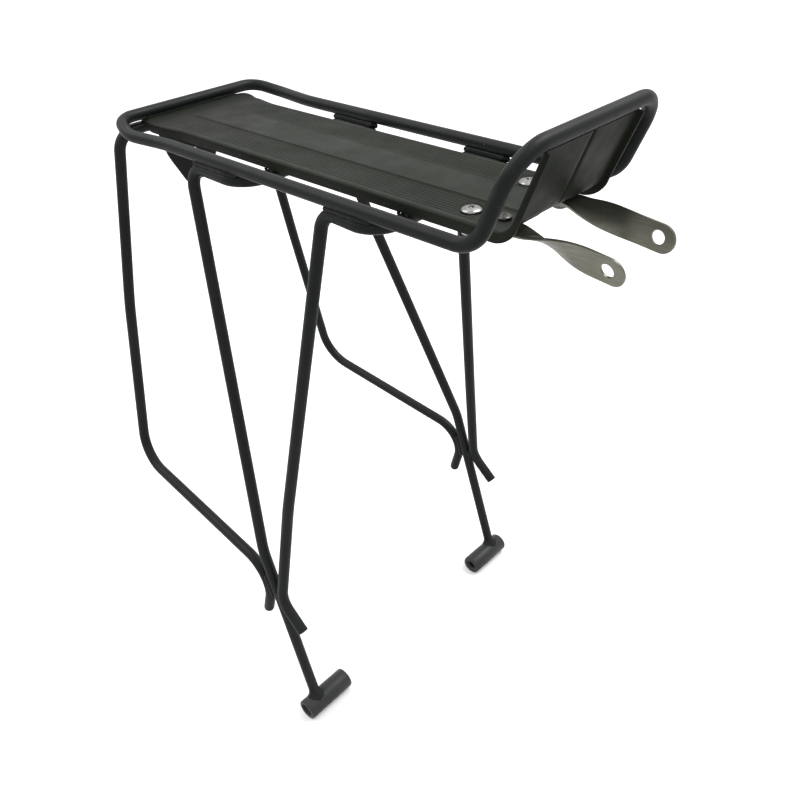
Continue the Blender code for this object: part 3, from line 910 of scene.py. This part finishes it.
def make_bolt(node, size, spin):
    """A round-head bolt: a low dome with a cross recess on a threaded shank."""
    low, high = node_box(node)
    centre = (low + high) / 2
    head_r, head_h = size["head_r"], size["head_h"]
    seat = high.z - head_h
    spot = Vector((centre.x, centre.y, seat))
    profile = [(0.0, head_h)]
    for degrees in range(6, 85, 6):
        a = math.radians(degrees)
        profile.append((head_r * math.sin(a), head_h * (0.22 + 0.78 * math.cos(a))))
    profile += [(head_r, 0.17 * head_h), (head_r - 0.05, 0.06 * head_h), (head_r - 0.25, 0.0), (0.0, 0.0)]
    bm = bmesh.new()
    turned(bm, profile, spot, UP, 64)
    head = mesh_piece(node + "_head", bm, 50)
    carve(head, recess_cutter(node + "_cross", spot + UP * head_h, spin, size["cross"]))
    bm = bmesh.new()
    bm.from_mesh(head.data)
    add_shank(bm, Vector((centre.x, centre.y, low.z)), seat - low.z + 0.2, 8.5, size)
    bm.to_mesh(head.data)
    bm.free()
    head.data.shade_smooth()
    head.data.set_sharp_from_angle(angle=math.radians(40))
    place(head, size["finish"], "zinc", nodes=[node])


def carve(piece, cutter):
    """Cuts one mesh out of another, then throws the cutter away."""
    modifier = piece.modifiers.new("recess", "BOOLEAN")
    modifier.object = cutter
    modifier.solver = "EXACT"
    modifier.use_self = True
    shape = piece.evaluated_get(bpy.context.evaluated_depsgraph_get())
    piece.data = bpy.data.meshes.new_from_object(shape)
    piece.modifiers.clear()
    bpy.data.objects.remove(cutter)


def make_washer(node, bore_r):
    """A flat ring with rounded edges."""
    low, high = node_box(node)
    centre = (low + high) / 2
    thick = high.z - low.z
    outer = (high.x - low.x) / 2
    spot = Vector((centre.x, centre.y, low.z))
    profile = [(bore_r, 0.0), (outer - 0.2, 0.0), (outer, 0.2), (outer, thick - 0.25)]
    profile += [(outer - 0.25, thick), (bore_r, thick)]
    bm = bmesh.new()
    turned(bm, profile, spot, UP, 64)
    place(mesh_piece(node + "_ring", bm, 50), ZINC, "zinc", nodes=[node])


def make_nut(node, size, spin):
    """A hexagon nut with its corners chamfered at both ends."""
    low, high = node_box(node)
    centre = (low + high) / 2
    height = high.z - low.z
    flat = size["nut_af"] / 2
    bore = size["shank_r"] + 0.1
    rings = [[] for _ in range(8)]
    for k in range(72):
        a = 2 * math.pi * k / 72
        hexagon = flat / math.cos((a % (math.pi / 3)) - math.pi / 6)
        fall = 0.15 + (hexagon - flat) * 0.58
        rows = ((bore, 0.4), (bore + 0.4, 0.0), (flat - 0.2, 0.0), (hexagon, fall), (hexagon, height - fall),
                (flat - 0.2, height), (bore + 0.4, height), (bore, height - 0.4))
        for ring, (radius, rise) in zip(rings, rows):
            reach = Vector((math.cos(a + spin), math.sin(a + spin), 0)) * radius
            ring.append(Vector((centre.x, centre.y, low.z + rise)) + reach)
    bm = bmesh.new()
    skin(bm, rings, closed_path=True)
    place(mesh_piece(node + "_hex", bm, 30), size["finish"], "zinc", nodes=[node])


def make_clamp_plate(side):
    """The strip with round ends that the two bolts pull up against a stay."""
    node = side + "_clamp_plate"
    low, high = node_box(node)
    half = (high.y - low.y) / 2
    middle = (low + high) / 2
    outline = (round_loop(low.x + half, 0.0, half, 90.0, 180.0, 20)
               + round_loop(high.x - half, 0.0, half, -90.0, 180.0, 20))
    holes = [round_loop(low.x + half, 0.0, HOLE_R), round_loop(high.x - half, 0.0, 2.3)]
    bm = flat_plate([outline] + holes, high.z - low.z, 0.3)
    bmesh.ops.translate(bm, verts=bm.verts, vec=Vector((0, middle.y, middle.z)) * MM)
    place(mesh_piece(node + "_strip", bm), STEEL, "bare_steel", nodes=[node])


def make_fasteners():
    """Each side's clamp: a plate, a big bolt with its washer and nut, and a small bolt and nut."""
    for side, sign in SIDES:
        make_clamp_plate(side)
        make_bolt(side + "_rear_bolt", BIG, sign * 0.35)
        make_washer(side + "_rear_washer", HOLE_R)
        make_nut(side + "_rear_nut", BIG, sign * 0.55)
        make_bolt(side + "_front_bolt", SMALL, sign * 1.05)
        make_nut(side + "_front_nut", SMALL, sign * 0.3)


# Floor, light and camera

FLOOR_HALF = 40000.0
HORIZON = 0.6
DOME_STRENGTH = 1.3
FULL_HEIGHT = 0.6               # sine of the height above the horizon where the dome is fully bright


def make_floor():
    """A plain pale floor under the feet."""
    bm = bmesh.new()
    corners = [Vector((x, y, 0)) * FLOOR_HALF * MM for x, y in ((-1, -1), (1, -1), (1, 1), (-1, 1))]
    bm.faces.new([bm.verts.new(corner) for corner in corners])
    floor = mesh_piece("floor", bm)
    floor.data.materials.append(pale_floor("floor"))


def add_light(name, spot, target, size, watts):
    """A round soft lamp at a spot, in metres, that faces a target."""
    light = bpy.data.lights.new(name, "AREA")
    light.shape = "DISK"
    light.size = size
    light.energy = watts
    lamp = bpy.data.objects.new(name, light)
    bpy.context.scene.collection.objects.link(lamp)
    lamp.location = spot
    lamp.rotation_euler = (Vector(target) - Vector(spot)).to_track_quat("-Z", "Y").to_euler()


def make_light():
    """A soft white dome, dimmer near the horizon, with a key lamp and a fill lamp."""
    world = bpy.data.worlds.new("studio")
    world.use_nodes = True
    tree = world.node_tree
    where = tree.nodes.new("ShaderNodeTexCoord")
    height = tree.nodes.new("ShaderNodeSeparateXYZ")
    sky = tree.nodes.new("ShaderNodeValToRGB")
    sky.color_ramp.elements[0].color = (HORIZON, HORIZON, HORIZON, 1.0)
    sky.color_ramp.elements[1].position = FULL_HEIGHT
    tree.links.new(where.outputs["Generated"], height.inputs[0])
    tree.links.new(height.outputs["Z"], sky.inputs["Fac"])
    tree.links.new(sky.outputs["Color"], tree.nodes["Background"].inputs["Color"])
    tree.nodes["Background"].inputs["Strength"].default_value = DOME_STRENGTH
    bpy.context.scene.world = world
    add_light("key", (0.5, 0.9, 1.9), (0.0, 0.0, 0.3), 1.2, 22.0)
    add_light("fill", (-1.0, -0.6, 1.6), (0.0, 0.0, 0.3), 1.4, 8.0)


CAMERA_SPOT = Vector((327.1, -309.0, 538.1))
CAMERA_AZIMUTH = math.radians(135.055)
CAMERA_DOWN = math.radians(35.452)
CAMERA_ROLL = math.radians(-2.829)
LENS = 36.25
SENSOR = 36.0


def make_camera():
    """The camera, from where it stands, where it looks and its roll about that line."""
    flat = math.cos(CAMERA_DOWN)
    forward = Vector((flat * math.cos(CAMERA_AZIMUTH), flat * math.sin(CAMERA_AZIMUTH),
                      -math.sin(CAMERA_DOWN)))
    right = forward.cross(UP).normalized()
    turn = Matrix.Rotation(-CAMERA_ROLL, 3, forward)
    right = turn @ right
    rise = right.cross(forward)
    lens = bpy.data.cameras.new("camera")
    lens.lens = LENS
    lens.sensor_width = SENSOR
    lens.clip_start = 0.02
    camera = bpy.data.objects.new("camera", lens)
    bpy.context.scene.collection.objects.link(camera)
    axes = Matrix((right, rise, -forward)).transposed().to_4x4()
    camera.matrix_world = Matrix.Translation(CAMERA_SPOT * MM) @ axes
    bpy.context.scene.camera = camera


make_loop()
make_hoop("rear_hoop_rod", "rear_hoop", REAR_HALF, DOME_TIP)
make_hoop("middle_hoop_rod", "middle_hoop", MIDDLE_HALF, [])
make_hoop("front_hoop_rod", "front_hoop", FRONT_HALF, CUT_TIP)
make_feet()
make_welds()
make_deck()
make_bracket()
make_stays()
make_fasteners()
make_floor()
make_light()
make_camera()
bpy.context.scene.view_settings.view_transform = "Standard"
